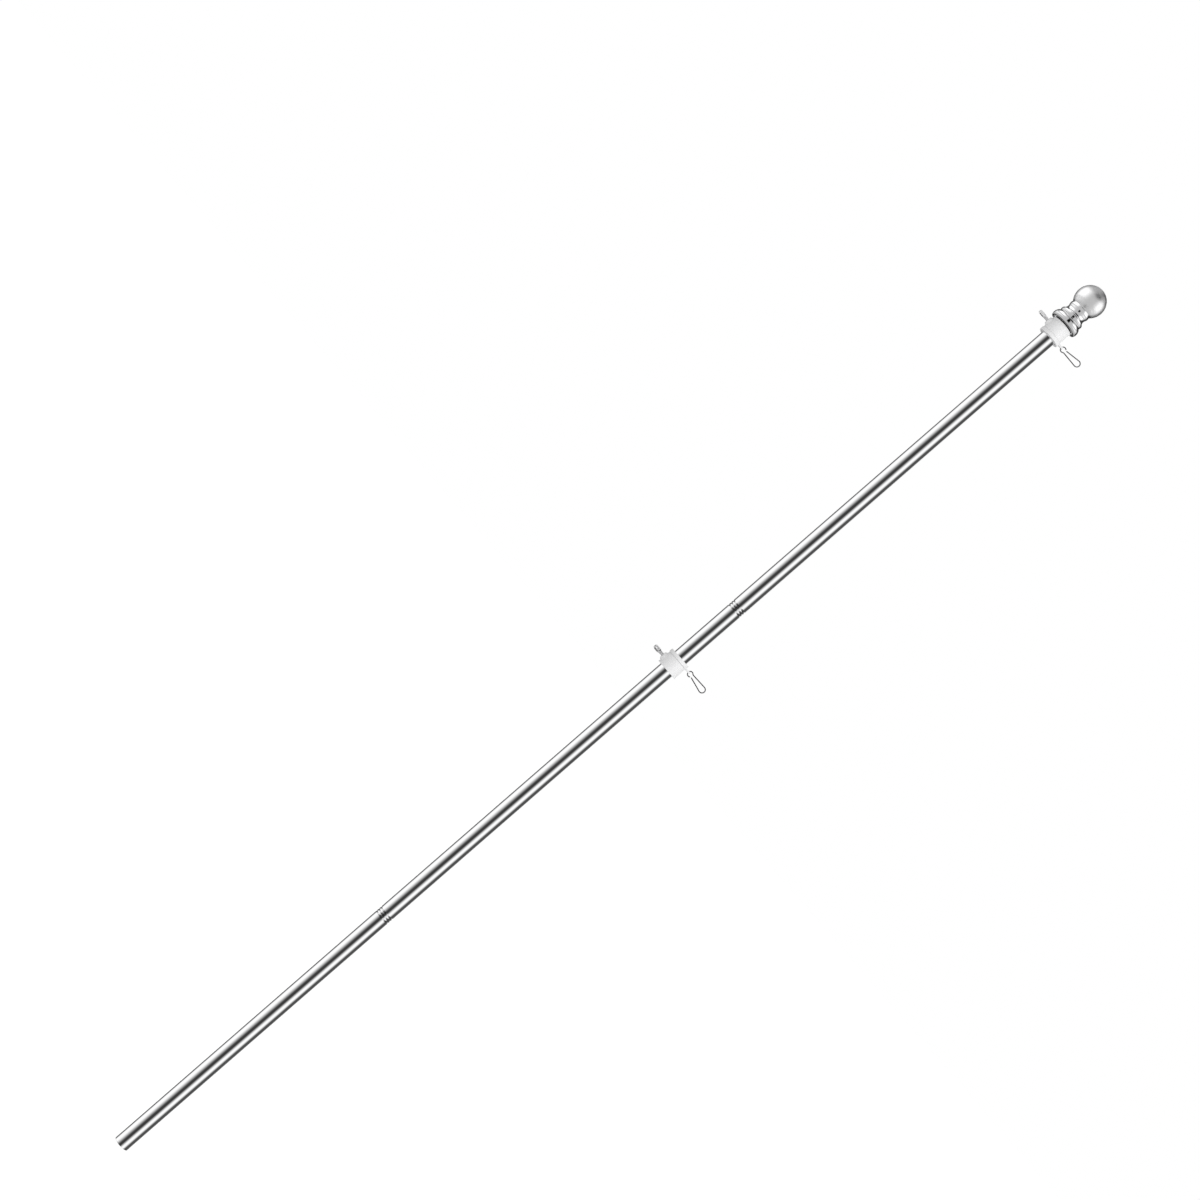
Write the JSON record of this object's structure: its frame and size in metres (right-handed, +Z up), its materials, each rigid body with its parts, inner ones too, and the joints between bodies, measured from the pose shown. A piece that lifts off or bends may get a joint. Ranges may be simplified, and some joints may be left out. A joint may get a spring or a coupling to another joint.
{
  "type": "sectional flagpole with two rotating flag rings",
  "caption": "Slim polished flagpole in screwed sections, with a ball finial and two clamped flag rings whose outer rings spin and carry wire clips.",
  "frame": {"origin": "centre of the pole's flat lower end", "axes": "+Z up along the pole to the finial, +X towards the clips, -X towards the thumb screws"},
  "size_m": [0.0788, 0.0384, 1.5],
  "materials": {
    "polished_tube": "mirror-polished stainless steel tube",
    "finial_chrome": "soft bright chrome",
    "insert_metal": "machined aluminium",
    "ring_plastic": "moulded white plastic",
    "screw_metal": "plated steel",
    "clip_wire": "spring wire",
    "plug_plastic": "black moulded plastic"
  },
  "bodies": {
    "pole": {"end_plug": "plug_plastic", "lower_tube": "polished_tube", "lower_joint_stud": "insert_metal", "lower_joint_socket": "insert_metal", "middle_tube": "polished_tube", "upper_joint_stud": "insert_metal", "upper_joint_socket": "insert_metal", "upper_tube": "polished_tube", "finial_stud": "insert_metal", "finial": "finial_chrome"},
    "lower_collar": {"lower_collar": "ring_plastic"},
    "lower_spin_ring": {"lower_spin_ring": "ring_plastic"},
    "lower_thumb_screw": {"lower_thumb_screw": "screw_metal"},
    "lower_clip": {"lower_clip": "clip_wire"},
    "upper_collar": {"upper_collar": "ring_plastic"},
    "upper_spin_ring": {"upper_spin_ring": "ring_plastic"},
    "upper_thumb_screw": {"upper_thumb_screw": "screw_metal"},
    "upper_clip": {"upper_clip": "clip_wire"}
  },
  "joints": [
    {"name": "lower_collar_slide", "type": "slide", "parent": "pole", "child": "lower_collar", "axis": [0, 0, 1], "range_m": [-0.6, 0.2]},
    {"name": "lower_screw_turn", "type": "hinge", "parent": "lower_collar", "child": "lower_thumb_screw", "pos_m": [-0.016, 0, 0.8417], "axis": [-1, 0, 0], "continuous": true},
    {"name": "lower_ring_spin", "type": "hinge", "parent": "lower_collar", "child": "lower_spin_ring", "pos_m": [0, 0, 0.8526], "axis": [0, 0, 1], "continuous": true},
    {"name": "lower_clip_swing", "type": "hinge", "parent": "lower_spin_ring", "child": "lower_clip", "pos_m": [0.0217, 0, 0.85085], "axis": [0, -1, 0], "range_deg": [-90, 90]},
    {"name": "upper_collar_slide", "type": "slide", "parent": "pole", "child": "upper_collar", "axis": [0, 0, 1], "range_m": [-0.25, 0]},
    {"name": "upper_screw_turn", "type": "hinge", "parent": "upper_collar", "child": "upper_thumb_screw", "pos_m": [-0.016, 0, 1.4303], "axis": [-1, 0, 0], "continuous": true},
    {"name": "upper_ring_spin", "type": "hinge", "parent": "upper_collar", "child": "upper_spin_ring", "pos_m": [0, 0, 1.4194], "axis": [0, 0, 1], "continuous": true},
    {"name": "upper_clip_swing", "type": "hinge", "parent": "upper_spin_ring", "child": "upper_clip", "pos_m": [0.0217, 0, 1.42115], "axis": [0, 1, 0], "range_deg": [-75, 90]}
  ]
}
